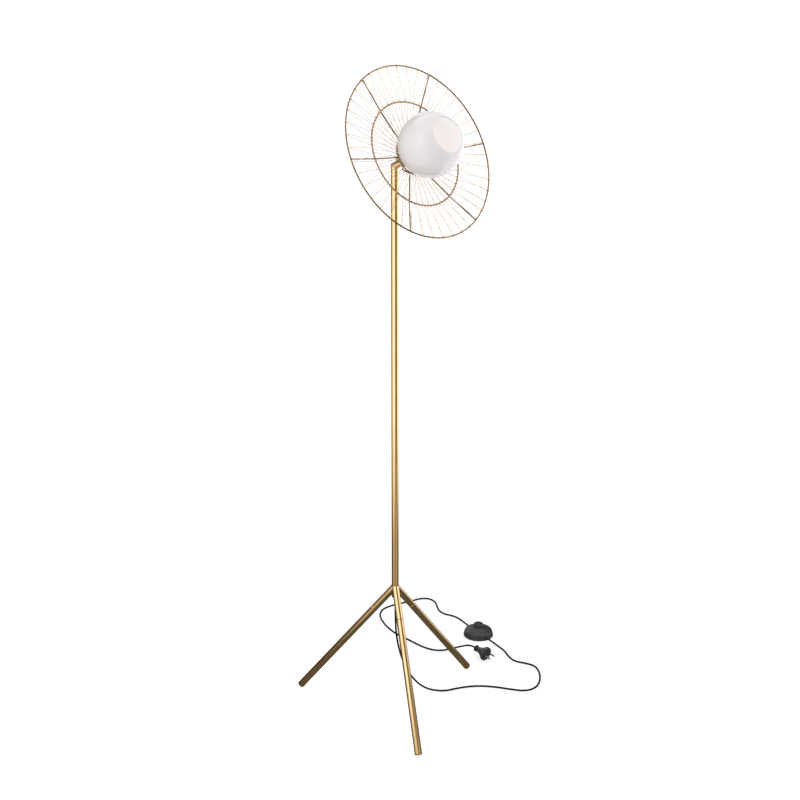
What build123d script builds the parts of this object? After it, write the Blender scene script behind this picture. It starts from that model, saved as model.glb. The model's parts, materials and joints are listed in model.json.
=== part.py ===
from build123d import *
import math
import os

# Wire cage floor lamp: a tripod of brass tube, a mitred pole and arm, a laced wire reflector
# round an opal globe, and a mains flex with a foot switch and a plug.
#
# The origin is on the floor under the pole. +Z is up, the head faces -Y, and one leg points
# along +X. Lengths are in millimetres and angles in degrees.

os.makedirs("parts", exist_ok=True)

# ---------------------------------------------------------------- driving dimensions
# Tube frame
tube_r = 9.0  # outside radius of the pole, arm, stubs and legs
tube_wall = 1.5
bend_height = 1367.0  # floor to the corner where pole and arm axes meet
head_tilt = 26.5  # how far the arm rises above level
arm_length = 30.0  # corner to the arm's end face
leg_azimuths = {"right": 0.0, "left": 120.0, "front": 240.0}
leg_tilt = 39.0  # between a leg and the pole
foot_reach = 260.0  # pole axis to the middle of a foot's end face
stub_length = 86.0  # pole axis to the joint between stub and leg
pole_overhang = 28.0  # pole below the point where the leg axes meet
joint_chamfer = 0.9
cap_flange = 2.0
cap_edge = 0.8  # rounding of a foot cap's edge
cap_plug = 14.0
insert_length = 16.0
stud_r = 5.0
stud_length = 26.0

# Wire reflector: distances along the head's axis are from the corner of pole and arm
outer_ring_r = 200.0
outer_ring_at = 92.6
middle_ring_r = 121.0
middle_ring_at = 78.0
hub_ring_r = 45.0
hub_ring_at = 67.3
outer_rod_r = 1.7
ring_rod_r = 1.5
spoke_rod_r = 1.5
spoke_count = 6
spoke_bend = 8.0
spoke_root = 8.0  # straight start of a spoke on the hub disc
loops_per_sector = 7  # turns of the lacing on the outer ring from one spoke to the next
lacing_offset = 1.1  # angle from a spoke to the nearest turn
wire_width = 1.2
lacing_gap = 0.3  # between the wire and the rods that it hooks round
hub_disc_r = 15.0
hub_disc_height = 6.0

# Lampholder and globe
nipple_r = 5.0
nipple_bore = 3.3
nipple_below = 15.0  # nipple inside the arm
nipple_length = 31.0
nut_across = 14.0
nut_height = 4.0
holder_r = 19.5
holder_wall = 2.2
holder_cap_height = 18.0
holder_body_length = 37.0
holder_dome = 7.0
screw_shell_r = 13.5  # inside radius of the E27 screw shell
screw_shell_wall = 0.5
screw_shell_length = 24.0
core_height = 10.0
core_pocket = 4.2  # depth of the pocket for the centre contact
core_clear = 1.0  # between the core and the joint of cap and body
pocket_length = 19.0
pocket_width = 7.0
core_hole_r = 1.6  # holes for the wires
contact_width = 5.0
contact_strip = 0.8
terminal_pitch = 16.0
terminal_width = 5.0
terminal_height = 5.0
shade_ring_r = 27.0
shade_ring_height = 3.0
shade_ring_skirt = 9.0
globe_r = 72.5
globe_wall = 2.8
globe_at = 130.5
globe_mouth_r = 41.5
globe_hole_r = 20.5

# Flex
flex_r = 2.5
bush_plug = 10.0
bush_flange = 1.2
bush_nose = 14.0

# Foot switch
switch_at = (419.5, 113.5)
switch_azimuth = 80.0  # direction in which the flex leaves towards the plug
switch_r = 41.5
switch_skirt_z = 3.0  # top of the cover's upright skirt
switch_shoulder_r = 38.6
switch_shoulder_z = 13.5
shoulder_inset = 2.0
shoulder_rise = 3.0
shoulder_edge = 1.6
switch_top_z = 25.5
switch_wall = 2.2
switch_base_height = 2.4
switch_flex_z = 7.0
button_r = 14.4
button_gap = 0.4  # between the button and its hole
button_draft = 1.2
button_top_z = 35.4
button_travel = 3.5
button_wall = 2.5
button_flange = 2.6  # how far the button's flange reaches under the cover
button_edge = 2.2
button_flange_height = 2.0
stem_r = 3.5
stem_below = 2.0  # stem below the flange
spring_disc_height = 2.0
plunger_r = 3.0
plunger_length = 8.0
block_length = 24.0
block_width = 15.0
block_height = 9.0
block_corner = 1.5
clamp_size = 5.0  # each wire clamp beside the contact block
clamp_pitch = 8.0
spring_r = 5.8
spring_wire = 0.9
spring_turns = 4
boss_circle_r = 28.0
boss_count = 3
boss_turn = 30.0
boss_r = 3.2
screw_r = 1.25
screw_length = 10.0
screw_head_height = 0.8
relief_r = 4.0
relief_length = 20.0
relief_outside = 4.0

# Plug
plug_face = (329.0, -7.2)  # middle of the plug's face, seen from above
plug_azimuth = -85.0
plug_tilt = 8.0  # pins point down by this much
plug_r = 19.0
plug_rim = 8.0
plug_body_length = 28.0
plug_neck_r = 8.0
plug_waist_r = 7.0
plug_knob_r = 8.8
plug_knob_length = 7.5
plug_relief_outside = 13.0
plug_spigot_r = 5.5
plug_spigot_length = 10.0
earth_hole_offset = 10.0
earth_hole_depth = 16.0
pin_r = 2.4
pin_length = 19.0
pin_pitch = 19.0
notch_width = 7.0
notch_depth = 3.6

# Clearances
slip = 0.1  # between a plug or insert and its bore
seat = 0.2  # between two faces that rest on each other
weld_gap = 0.05  # between a spoke's end and what it is welded to
thread_gap = 0.05

# ---------------------------------------------------------------- derived sizes and frames
bore_r = tube_r - tube_wall
tilt = math.radians(leg_tilt)
foot_z = (tube_r - cap_edge) * math.sin(tilt) + cap_edge * (1 - math.cos(tilt))
meet_z = foot_z + foot_reach / math.tan(tilt)
leg_length = foot_reach / math.sin(tilt)
pole_bottom = meet_z - pole_overhang

bend = Vector(0, 0, bend_height)
rise = math.radians(head_tilt)
head_axis = Vector(0, -math.cos(rise), math.sin(rise))
head_up = Vector(0, math.sin(rise), math.cos(rise))
head = Plane(origin=bend, x_dir=(1, 0, 0), z_dir=head_axis)
head_section = Plane(origin=bend, x_dir=(1, 0, 0), z_dir=head_up * -1)
head_line = Axis(bend, head_axis)
mitre = Plane(origin=bend, z_dir=Vector(0, 0, 1) + head_axis)

hub_disc_top = arm_length + hub_disc_height
nut_top = hub_disc_top + seat + nut_height
cap_bottom = nut_top + seat
cap_top = cap_bottom + holder_cap_height
body_top = cap_top + holder_body_length
seat_r = shade_ring_r + 0.5
globe_seat = globe_at - math.sqrt(globe_r**2 - seat_r**2)
globe_inner_seat = globe_seat + globe_wall


def leg_plane(azimuth):
    """Frame on a leg: origin where the leg axes meet, z down along the leg."""
    turn = math.radians(azimuth)
    along = (math.sin(tilt) * math.cos(turn), math.sin(tilt) * math.sin(turn), -math.cos(tilt))
    across = (-math.sin(turn), math.cos(turn), 0)
    return Plane(origin=(0, 0, meet_z), x_dir=across, z_dir=along)


def head_point(angle, radius, along):
    """Point at an angle round the head's axis, at a radius from it and a distance along it."""
    turn = math.radians(angle)
    return head.from_local_coords((radius * math.cos(turn), radius * math.sin(turn), along))


def save(part, name):
    """Label a finished piece and write its file."""
    part.part.label = name
    export_step(part.part, f"parts/{name}.step")


# ---------------------------------------------------------------- pole and arm
with BuildPart() as pole_tube:
    with BuildSketch(Plane.XY.offset(pole_bottom)):
        Circle(tube_r)
        Circle(bore_r, mode=Mode.SUBTRACT)
    extrude(amount=bend_height + 2 * tube_r - pole_bottom)
    split(bisect_by=mitre, keep=Keep.BOTTOM)
save(pole_tube, "pole_tube")

with BuildPart() as arm_tube:
    with BuildSketch(head.offset(-2 * tube_r)):
        Circle(tube_r)
        Circle(bore_r, mode=Mode.SUBTRACT)
    extrude(amount=arm_length + 2 * tube_r)
    split(bisect_by=mitre, keep=Keep.TOP)
save(arm_tube, "arm_tube")

# ---------------------------------------------------------------- tripod
for name, azimuth in leg_azimuths.items():
    frame = leg_plane(azimuth)
    along_leg = Axis(frame.origin, frame.z_dir)

    # Stub: saddle-cut on the pole, and cut on the planes half way to its two neighbours
    with BuildPart() as leg_stub:
        with BuildSketch(frame):
            Circle(tube_r)
        extrude(amount=stub_length)
        chamfer(leg_stub.edges().sort_by(along_leg)[-1], joint_chamfer)
        with BuildSketch(frame):
            Circle(bore_r)
        extrude(amount=stub_length, mode=Mode.SUBTRACT)
        with BuildSketch(Plane.XY.offset(meet_z - 2 * stub_length)):
            Circle(tube_r)
        extrude(amount=4 * stub_length, mode=Mode.SUBTRACT)
        for side in (-1, 1):
            half_way = math.radians(azimuth + side * 180 / len(leg_azimuths))
            inward = (side * math.sin(half_way), -side * math.cos(half_way), 0)
            split(bisect_by=Plane(origin=(0, 0, meet_z), z_dir=inward), keep=Keep.TOP)
    save(leg_stub, f"leg_stub_{name}")

    with BuildPart() as leg_tube:
        with BuildSketch(frame.offset(stub_length + seat)):
            Circle(tube_r)
        extrude(amount=leg_length - cap_flange - stub_length - seat)
        chamfer(leg_tube.edges().sort_by(along_leg)[0], joint_chamfer)
        with BuildSketch(frame.offset(stub_length + seat)):
            Circle(bore_r)
        extrude(amount=leg_length, mode=Mode.SUBTRACT)
    save(leg_tube, f"leg_tube_{name}")

    with BuildPart() as foot_cap:
        with BuildSketch(frame.offset(leg_length - cap_flange)):
            Circle(tube_r)
        extrude(amount=cap_flange)
        fillet(foot_cap.edges().sort_by(along_leg)[-1], cap_edge)
        with BuildSketch(frame.offset(leg_length - cap_flange)):
            Circle(bore_r - slip)
        extrude(amount=-cap_plug)
    save(foot_cap, f"foot_cap_{name}")

# Threaded inserts at each joint, and the studs that join them
with BuildPart() as stub_inserts:
    for azimuth in leg_azimuths.values():
        with BuildSketch(leg_plane(azimuth).offset(stub_length - insert_length - seat)):
            Circle(bore_r - slip)
            Circle(stud_r + thread_gap, mode=Mode.SUBTRACT)
        extrude(amount=insert_length)
save(stub_inserts, "stub_inserts")

with BuildPart() as leg_inserts:
    for azimuth in leg_azimuths.values():
        with BuildSketch(leg_plane(azimuth).offset(stub_length + 2 * seat)):
            Circle(bore_r - slip)
            Circle(stud_r + thread_gap, mode=Mode.SUBTRACT)
        extrude(amount=insert_length)
save(leg_inserts, "leg_inserts")

with BuildPart() as leg_studs:
    for azimuth in leg_azimuths.values():
        with BuildSketch(leg_plane(azimuth).offset(stub_length - stud_length / 2)):
            Circle(stud_r)
        extrude(amount=stud_length)
save(leg_studs, "leg_studs")

# ---------------------------------------------------------------- flex bush in the pole's foot
bush_top = pole_bottom + bush_plug
bush_step = pole_bottom - bush_flange
nose_r = 1.3 * flex_r  # at the tip of the bush and of the switch's reliefs
flex_exit = bush_step - bush_nose
with BuildPart() as flex_bush:
    with BuildSketch(Plane.XZ):
        Polygon(
            (flex_r + slip, bush_top),
            (bore_r - slip, bush_top),
            (bore_r - slip, pole_bottom),
            (tube_r, pole_bottom),
            (tube_r, bush_step),
            (2 * flex_r, bush_step),
            (nose_r, flex_exit),
            (flex_r + slip, flex_exit),
            align=None,
        )
    revolve(axis=Axis.Z)
save(flex_bush, "flex_bush")

# ---------------------------------------------------------------- fixing of the head
with BuildPart() as arm_insert:
    with BuildSketch(head.offset(arm_length - nipple_below - 1)):
        Circle(bore_r - slip)
        Circle(nipple_r + thread_gap, mode=Mode.SUBTRACT)
    extrude(amount=nipple_below + 1 - seat)
save(arm_insert, "arm_insert")

with BuildPart() as nipple:
    with BuildSketch(head.offset(arm_length - nipple_below)):
        Circle(nipple_r)
        Circle(nipple_bore, mode=Mode.SUBTRACT)
    extrude(amount=nipple_length)
save(nipple, "nipple")

# The spokes are welded round the rim of this disc, which is clamped on the arm's end
with BuildPart() as hub_disc:
    with BuildSketch(head.offset(arm_length)):
        Circle(hub_disc_r)
    extrude(amount=hub_disc_height)
    chamfer(hub_disc.edges().sort_by(head_line)[0], 1.5)
    with BuildSketch(head.offset(arm_length)):
        Circle(nipple_r + slip)
    extrude(amount=hub_disc_height, mode=Mode.SUBTRACT)
save(hub_disc, "hub_disc")

with BuildPart() as lock_nut:
    with BuildSketch(head.offset(hub_disc_top + seat)):
        RegularPolygon(nut_across / 2, 6, major_radius=False)
        Circle(nipple_r + thread_gap, mode=Mode.SUBTRACT)
    extrude(amount=nut_height)
save(lock_nut, "lock_nut")

# ---------------------------------------------------------------- wire reflector
for name, ring_r, ring_at, rod_r in (
    ("outer_ring", outer_ring_r, outer_ring_at, outer_rod_r),
    ("middle_ring", middle_ring_r, middle_ring_at, ring_rod_r),
    ("hub_ring", hub_ring_r, hub_ring_at, ring_rod_r),
):
    with BuildPart() as ring:
        with BuildSketch(head_section):
            with Locations((ring_r, ring_at)):
                Circle(rod_r)
        revolve(axis=head_line)
    save(ring, name)

# Each spoke leaves the disc's rim square, runs behind the two inner rings, and butts on the
# outer one
behind_ring = ring_rod_r + spoke_rod_r + slip
with BuildPart() as spokes:
    for k in range(spoke_count):
        angle = k * 360 / spoke_count
        with BuildLine() as spoke_path:
            FilletPolyline(
                head_point(angle, hub_disc_r + weld_gap, arm_length + hub_disc_height / 2),
                head_point(angle, hub_disc_r + spoke_root, arm_length + hub_disc_height / 2),
                head_point(angle, hub_ring_r, hub_ring_at - behind_ring),
                head_point(angle, middle_ring_r, middle_ring_at - behind_ring),
                head_point(angle, outer_ring_r - outer_rod_r - weld_gap, outer_ring_at),
                radius=spoke_bend,
            )
        with BuildSketch(Plane(origin=spoke_path.line @ 0, z_dir=spoke_path.line % 0)):
            Circle(spoke_rod_r)
        sweep()
save(spokes, "spokes")

# Lacing: each loop of wire starts inside the hub ring, runs out over the front of the rings,
# hooks round the outer ring, and runs back behind them, so that it grips all three rings.
# Neighbouring loops meet inside the hub ring.
loop_pitch = 360 / (spoke_count * loops_per_sector)
over_outer = outer_rod_r + wire_width / 2 + lacing_gap
over_inner = ring_rod_r + wire_width / 2 + lacing_gap
outer_lean = math.atan2(outer_ring_at - middle_ring_at, outer_ring_r - middle_ring_r)
inner_lean = math.atan2(middle_ring_at - hub_ring_at, middle_ring_r - hub_ring_r)
hook_turn = math.degrees(wire_width / outer_ring_r)


def leaning(over, lean):
    """Reach along the axis at which a leaning run still clears the rod it hooks round."""
    return over * (1 + math.sin(lean)) / math.cos(lean)


def loop_points(angle):
    """Corners of one loop of the lacing, from the hub ring out and back."""
    hub_front = hub_ring_at + over_inner
    hub_back = hub_ring_at - leaning(over_inner, inner_lean)
    outer_front = outer_ring_at + leaning(over_outer, outer_lean)
    return [
        head_point(angle - loop_pitch / 2, hub_ring_r - over_inner, hub_ring_at),
        head_point(angle - loop_pitch / 2, hub_ring_r - over_inner, hub_front),
        head_point(angle - loop_pitch / 4, middle_ring_r, middle_ring_at + over_inner),
        head_point(angle - hook_turn, outer_ring_r + over_outer, outer_front),
        head_point(angle + hook_turn, outer_ring_r + over_outer, outer_ring_at - over_outer),
        head_point(angle + loop_pitch / 4, middle_ring_r, middle_ring_at - over_inner),
        head_point(angle + loop_pitch / 2, hub_ring_r - over_inner, hub_back),
        head_point(angle + loop_pitch / 2, hub_ring_r - over_inner, hub_ring_at),
    ]


with BuildPart() as lacing_wire:
    for k in range(spoke_count * loops_per_sector):
        corners = loop_points(lacing_offset + k * loop_pitch)
        inward = bend + head_axis * hub_ring_at - corners[0]
        with BuildLine():
            Polyline(*corners)
        with BuildSketch(Plane(origin=corners[0], x_dir=inward, z_dir=head_axis)):
            Rectangle(wire_width, wire_width)
        sweep(transition=Transition.RIGHT, clean=False)
save(lacing_wire, "lacing_wire")

# ---------------------------------------------------------------- lampholder
with BuildPart() as holder_cap:
    with BuildSketch(head_section):
        with BuildLine():
            Polyline(
                (nipple_r + thread_gap, cap_bottom + holder_wall + 1),
                (nipple_r + thread_gap, cap_bottom),
                (nipple_r + holder_wall, cap_bottom),
            )
            ThreePointArc(
                (nipple_r + holder_wall, cap_bottom),
                (0.82 * holder_r, cap_bottom + 0.32 * holder_dome),
                (holder_r, cap_bottom + holder_dome + 1),
            )
            Polyline(
                (holder_r, cap_bottom + holder_dome + 1),
                (holder_r, cap_top),
                (holder_r - holder_wall, cap_top),
                (holder_r - holder_wall, cap_bottom + holder_dome + 2),
            )
            ThreePointArc(
                (holder_r - holder_wall, cap_bottom + holder_dome + 2),
                (0.7 * holder_r, cap_bottom + 0.45 * holder_dome + holder_wall),
                (nipple_r + thread_gap, cap_bottom + holder_wall + 1),
            )
        make_face()
    revolve(axis=head_line)
save(holder_cap, "holder_cap")

with BuildPart() as holder_body:
    with BuildSketch(head.offset(cap_top + seat)):
        Circle(holder_r)
    extrude(amount=holder_body_length)
    chamfer(holder_body.edges().sort_by(head_line)[-1], 1.0)
    with BuildSketch(head.offset(cap_top + seat)):
        Circle(holder_r - holder_wall)
    extrude(amount=holder_body_length - holder_wall, mode=Mode.SUBTRACT)
    with BuildSketch(head.offset(cap_top + seat)):
        Circle(screw_shell_r + screw_shell_wall + slip)
    extrude(amount=holder_body_length, mode=Mode.SUBTRACT)
save(holder_body, "holder_body")

core_bottom = cap_top + core_clear
core_top = core_bottom + core_height
contact_at = core_top - core_pocket + seat
with BuildPart() as holder_core:
    with BuildSketch(head.offset(core_bottom)):
        Circle(holder_r - holder_wall - slip)
    extrude(amount=core_height)
    with BuildSketch(head.offset(core_bottom)):
        with PolarLocations(holder_r - 3 * holder_wall, 2, start_angle=90):
            Circle(core_hole_r)
    extrude(amount=core_height, mode=Mode.SUBTRACT)
    with BuildSketch(head.offset(core_top)):
        Rectangle(pocket_length, pocket_width)
    extrude(amount=-core_pocket, mode=Mode.SUBTRACT)
save(holder_core, "holder_core")

with BuildPart() as screw_shell:
    with BuildSketch(head.offset(core_top + seat)):
        Circle(screw_shell_r + screw_shell_wall)
        Circle(screw_shell_r, mode=Mode.SUBTRACT)
    extrude(amount=screw_shell_length)
save(screw_shell, "screw_shell")

# Sprung centre contact: a strip that lies in the core's pocket and rises to the middle
with BuildPart() as centre_contact:
    with BuildSketch(head_section):
        Polygon(
            (-8, contact_at),
            (-2, contact_at),
            (4, contact_at + 2.8),
            (7, contact_at + 2.2),
            (7, contact_at + 2.2 + contact_strip),
            (4, contact_at + 2.8 + contact_strip),
            (-2.2, contact_at + contact_strip),
            (-8, contact_at + contact_strip),
            align=None,
        )
    extrude(amount=contact_width / 2, both=True)
save(centre_contact, "centre_contact")

with BuildPart() as holder_terminals:
    with BuildSketch(head.offset(core_bottom - seat)):
        with GridLocations(terminal_pitch, 0, 2, 1):
            Rectangle(terminal_width, terminal_height)
    extrude(amount=-terminal_height)
save(holder_terminals, "holder_terminals")

# Shade rings clamp the glass from behind and from inside
with BuildPart() as shade_ring_back:
    with BuildSketch(head.offset(globe_seat - seat)):
        Circle(shade_ring_r)
        Circle(holder_r + slip, mode=Mode.SUBTRACT)
    extrude(amount=-shade_ring_height)
    chamfer(shade_ring_back.edges().sort_by(SortBy.LENGTH)[-1], 0.8)
save(shade_ring_back, "shade_ring_back")

with BuildPart() as shade_ring_front:
    with BuildSketch(head.offset(globe_inner_seat + seat)):
        Circle(shade_ring_r - 1)
        Circle(holder_r + slip, mode=Mode.SUBTRACT)
    extrude(amount=shade_ring_height)
    with BuildSketch(head.offset(globe_inner_seat + seat)):
        Circle(holder_r + 3)
        Circle(holder_r + slip, mode=Mode.SUBTRACT)
    extrude(amount=shade_ring_skirt)
save(shade_ring_front, "shade_ring_front")

# ---------------------------------------------------------------- opal globe
inner_r = globe_r - globe_wall
mouth_angle = math.asin(globe_mouth_r / globe_r)
inner_seat_r = math.sqrt(inner_r**2 - (globe_at - globe_inner_seat) ** 2)


def on_globe(radius):
    """Point on a sphere about the globe's centre, at the rim of the mouth."""
    return (radius * math.sin(mouth_angle), globe_at + radius * math.cos(mouth_angle))


with BuildPart() as glass_globe:
    with BuildSketch(head_section):
        with BuildLine():
            ThreePointArc((seat_r, globe_seat), (globe_r, globe_at), on_globe(globe_r))
            Line(on_globe(globe_r), on_globe(inner_r))
            ThreePointArc(on_globe(inner_r), (inner_r, globe_at), (inner_seat_r, globe_inner_seat))
            Polyline(
                (inner_seat_r, globe_inner_seat),
                (globe_hole_r, globe_inner_seat),
                (globe_hole_r, globe_seat),
                (seat_r, globe_seat),
            )
        make_face()
    revolve(axis=head_line)
    fillet(glass_globe.edges().filter_by(GeomType.CIRCLE).sort_by(head_line)[-2:], 0.4 * globe_wall)
save(glass_globe, "glass_globe")


# ---------------------------------------------------------------- flex
def arc_radii(points):
    """Radius of the arc at each inner corner: as large as its two runs allow."""
    radii = []
    for before, here, after in zip(points, points[1:], points[2:]):
        run_in = Vector(*here) - Vector(*before)
        run_out = Vector(*after) - Vector(*here)
        half_turn = math.radians(run_in.get_angle(run_out) / 2)
        radii.append(0.45 * min(run_in.length, run_out.length) / math.tan(half_turn))
    return radii


def flex_tube(points, radii):
    """Round flex along straight runs joined by tangent arcs."""
    with BuildPart() as tube:
        with BuildLine() as route:
            FilletPolyline(*points, radius=radii)
        with BuildSketch(Plane(origin=route.line @ 0, z_dir=route.line % 0)):
            Circle(flex_r)
        sweep()
    length = route.wires()[0].length
    print("flex length", round(length, 1), "least radius", round(min(radii), 1))
    print("volume over section times length", round(tube.part.volume / (math.pi * flex_r**2 * length), 4))
    return tube


# Inside the lamp: from the bush up the pole and through the arm and nipple to the holder
inner_flex = flex_tube(
    [(0, 0, flex_exit), (0, 0, bend_height), tuple(bend + head_axis * (cap_bottom + holder_wall + 2))],
    [10 * flex_r],
)
save(inner_flex, "inner_flex")

# Foot switch and plug frames
switch_turn = math.radians(switch_azimuth)
switch_dir = Vector(math.cos(switch_turn), math.sin(switch_turn), 0)
switch_floor = Vector(switch_at[0], switch_at[1], 0)
switch_level = Vector(switch_at[0], switch_at[1], switch_flex_z)
relief_reach = switch_r + relief_outside
plug_turn = math.radians(plug_azimuth)
plug_dip = math.radians(plug_tilt)
plug_axis = Vector(
    math.cos(plug_turn) * math.cos(plug_dip), math.sin(plug_turn) * math.cos(plug_dip), -math.sin(plug_dip)
)
plug_rest = math.sqrt(plug_r**2 - (notch_width / 2) ** 2)
plug_z = plug_rest * math.cos(plug_dip) - math.sin(plug_dip)
plug_origin = Vector(plug_face[0], plug_face[1], plug_z)
plug = Plane(origin=plug_origin, x_dir=(-math.sin(plug_turn), math.cos(plug_turn), 0), z_dir=plug_axis)
plug_tail = plug_body_length + plug_relief_outside

# Lamp to switch: down from the pole, along the floor in an S, and up into the near side
lies = flex_r
to_switch_end = switch_level - switch_dir * relief_reach
to_switch_points = [
    (0, 0, flex_exit),
    (0, 0, 236),
    (3, -1, 180),
    (16, -6, 120),
    (38, -15, 66),
    (74, -29, 22),
    (122, -48, lies),
    (166, -63, lies),
    (208, -86, lies),
    (240, -123, lies),
    (262, -162, lies),
    (284, -193, lies),
    (318, -199, lies),
    (354, -180, lies),
    (386, -148, lies),
    (401, -117, lies),
    (391, -89, lies),
    (378, -64, lies),
    (386, -34, lies),
    (402, -4, lies),
    (408, 26, lies),
    tuple(to_switch_end - switch_dir * 20),
    tuple(to_switch_end),
]
cord_to_switch = flex_tube(to_switch_points, arc_radii(to_switch_points))
save(cord_to_switch, "cord_to_switch")

# Switch to plug: round behind the lamp and back between the legs to the plug
to_plug_start = switch_level + switch_dir * relief_reach
to_plug_end = plug_origin - plug_axis * plug_tail
to_plug_points = [
    tuple(to_plug_start),
    tuple(to_plug_start + switch_dir * 20),
    (444, 208, lies),
    (446, 238, lies),
    (433, 266, lies),
    (438, 296, lies),
    (457, 321, lies),
    (471, 345, lies),
    (471, 371, lies),
    (451, 388, lies),
    (424, 392, lies),
    (388, 403, lies),
    (352, 412, lies),
    (318, 410, lies),
    (288, 386, lies),
    (267, 347, lies),
    (253, 304, lies),
    (247, 262, lies),
    (250, 220, lies),
    (249, 176, lies),
    (255, 138, lies),
    (273, 112, lies),
    (295, 96, 7.5),
    (313, 74, 17),
    tuple(to_plug_end - plug_axis * 18),
    tuple(to_plug_end),
]
cord_to_plug = flex_tube(to_plug_points, arc_radii(to_plug_points))
save(cord_to_plug, "cord_to_plug")

# ---------------------------------------------------------------- foot switch
switch_plane = Plane(origin=switch_floor, x_dir=switch_dir, z_dir=(0, 0, 1))
switch_section = Plane(origin=switch_floor, x_dir=switch_dir, z_dir=switch_dir.rotate(Axis.Z, -90))
switch_line = Axis(switch_floor, (0, 0, 1))
across_switch = Plane(origin=switch_level, x_dir=(0, 0, 1), z_dir=switch_dir)
hole_r = button_r + button_gap
cone_r = switch_shoulder_r - shoulder_inset
cone_fall = (switch_top_z - switch_shoulder_z - shoulder_rise) / (cone_r - hole_r)


def cone_z(radius):
    """Height of the cover's outer cone at a radius."""
    return switch_top_z - (radius - hole_r) * cone_fall


with BuildPart() as switch_cover:
    with BuildSketch(switch_section):
        Polygon(
            (0, 0),
            (switch_r, 0),
            (switch_r, switch_skirt_z),
            (switch_shoulder_r, switch_shoulder_z),
            (cone_r, cone_z(cone_r)),
            (hole_r, switch_top_z),
            (0, switch_top_z),
            align=None,
        )
    revolve(axis=switch_line)
    rim_edges = switch_cover.edges().filter_by(GeomType.CIRCLE).sort_by(Axis.Z)
    fillet(rim_edges[2:4], shoulder_edge)
    with BuildSketch(switch_section):
        Polygon(
            (0, 0),
            (switch_r - switch_wall, 0),
            (switch_shoulder_r - switch_wall, switch_shoulder_z - 1),
            (cone_r - switch_wall, cone_z(cone_r) - switch_wall),
            (hole_r, switch_top_z - switch_wall),
            (0, switch_top_z - switch_wall),
            align=None,
        )
    revolve(axis=switch_line, mode=Mode.SUBTRACT)
    with BuildSketch(switch_plane):
        Circle(hole_r)
    extrude(amount=switch_top_z, mode=Mode.SUBTRACT)
    # Bosses for the screws, reaching up into the cover's top
    boss_top = cone_z(boss_circle_r + boss_r) - 0.4
    with BuildSketch(switch_plane.offset(switch_base_height + seat)):
        with PolarLocations(boss_circle_r, boss_count, start_angle=boss_turn):
            Circle(boss_r)
    extrude(amount=boss_top - switch_base_height - seat)
    with BuildSketch(switch_plane.offset(switch_base_height)):
        with PolarLocations(boss_circle_r, boss_count, start_angle=boss_turn):
            Circle(screw_r + slip)
    extrude(amount=screw_length + 2 * seat, mode=Mode.SUBTRACT)
    # Flex entries on both sides
    with BuildSketch(across_switch.offset(-2 * switch_r)):
        Circle(relief_r + seat)
    extrude(amount=4 * switch_r, mode=Mode.SUBTRACT)
save(switch_cover, "switch_cover")

with BuildPart() as switch_base:
    with BuildSketch(switch_plane):
        Circle(switch_r - switch_wall - 0.9)
    extrude(amount=switch_base_height)
    with BuildSketch(switch_plane):
        with PolarLocations(boss_circle_r, boss_count, start_angle=boss_turn):
            Circle(screw_r + slip)
    extrude(amount=switch_base_height, mode=Mode.SUBTRACT)
    with BuildSketch(switch_plane):
        with PolarLocations(boss_circle_r, boss_count, start_angle=boss_turn):
            Circle(2 * screw_r + 2 * slip)
    extrude(amount=switch_base_height / 2, mode=Mode.SUBTRACT)
save(switch_base, "switch_base")

screw_seat = switch_base_height / 2 - seat / 2
with BuildPart() as switch_screws:
    with BuildSketch(switch_plane.offset(screw_seat)):
        with PolarLocations(boss_circle_r, boss_count, start_angle=boss_turn):
            Circle(2 * screw_r)
    extrude(amount=-screw_head_height)
    with BuildSketch(switch_plane.offset(screw_seat)):
        with PolarLocations(boss_circle_r, boss_count, start_angle=boss_turn):
            Circle(screw_r)
    extrude(amount=screw_length)
save(switch_screws, "switch_screws")

# Button: a drafted cap with a flange that stops under the cover, and a stem on the plunger
flange_r = button_r + button_flange
flange_top = cone_z(flange_r) - switch_wall - seat
button_bottom = flange_top - button_flange_height
stem_bottom = button_bottom - stem_below
spring_disc_at = button_bottom + spring_disc_height
with BuildPart() as switch_button:
    with BuildSketch(switch_section):
        Polygon(
            (0, button_bottom),
            (flange_r, button_bottom),
            (flange_r, flange_top),
            (button_r, flange_top),
            (button_r, switch_top_z),
            (button_r - button_draft, button_top_z),
            (0, button_top_z),
            align=None,
        )
    revolve(axis=switch_line)
    fillet(switch_button.edges().filter_by(GeomType.CIRCLE).sort_by(Axis.Z)[-1], button_edge)
    with BuildSketch(switch_plane.offset(button_bottom)):
        Circle(button_r - button_draft - button_wall)
    extrude(amount=button_top_z - button_wall - button_bottom, mode=Mode.SUBTRACT)
    with BuildSketch(switch_plane.offset(stem_bottom)):
        Circle(stem_r)
    extrude(amount=button_top_z - button_wall - stem_bottom)
    with BuildSketch(switch_plane.offset(spring_disc_at)):
        Circle(spring_r + 2 * spring_wire)
    extrude(amount=spring_disc_height)
save(switch_button, "switch_button")

# Contact block on the base, with the plunger that the button's stem pushes down
plunger_top = stem_bottom - seat
plunger_bottom = plunger_top - plunger_length
block_bottom = switch_base_height + seat
with BuildPart() as switch_block:
    with BuildSketch(switch_plane.offset(block_bottom)):
        RectangleRounded(block_length, block_width, block_corner)
    extrude(amount=block_height)
    with BuildSketch(switch_plane.offset(plunger_bottom - button_travel - seat)):
        Circle(plunger_r + slip)
    extrude(amount=block_height, mode=Mode.SUBTRACT)
save(switch_block, "switch_block")

with BuildPart() as switch_plunger:
    with BuildSketch(switch_plane.offset(plunger_bottom)):
        Circle(plunger_r)
    extrude(amount=plunger_length)
save(switch_plunger, "switch_plunger")

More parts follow.
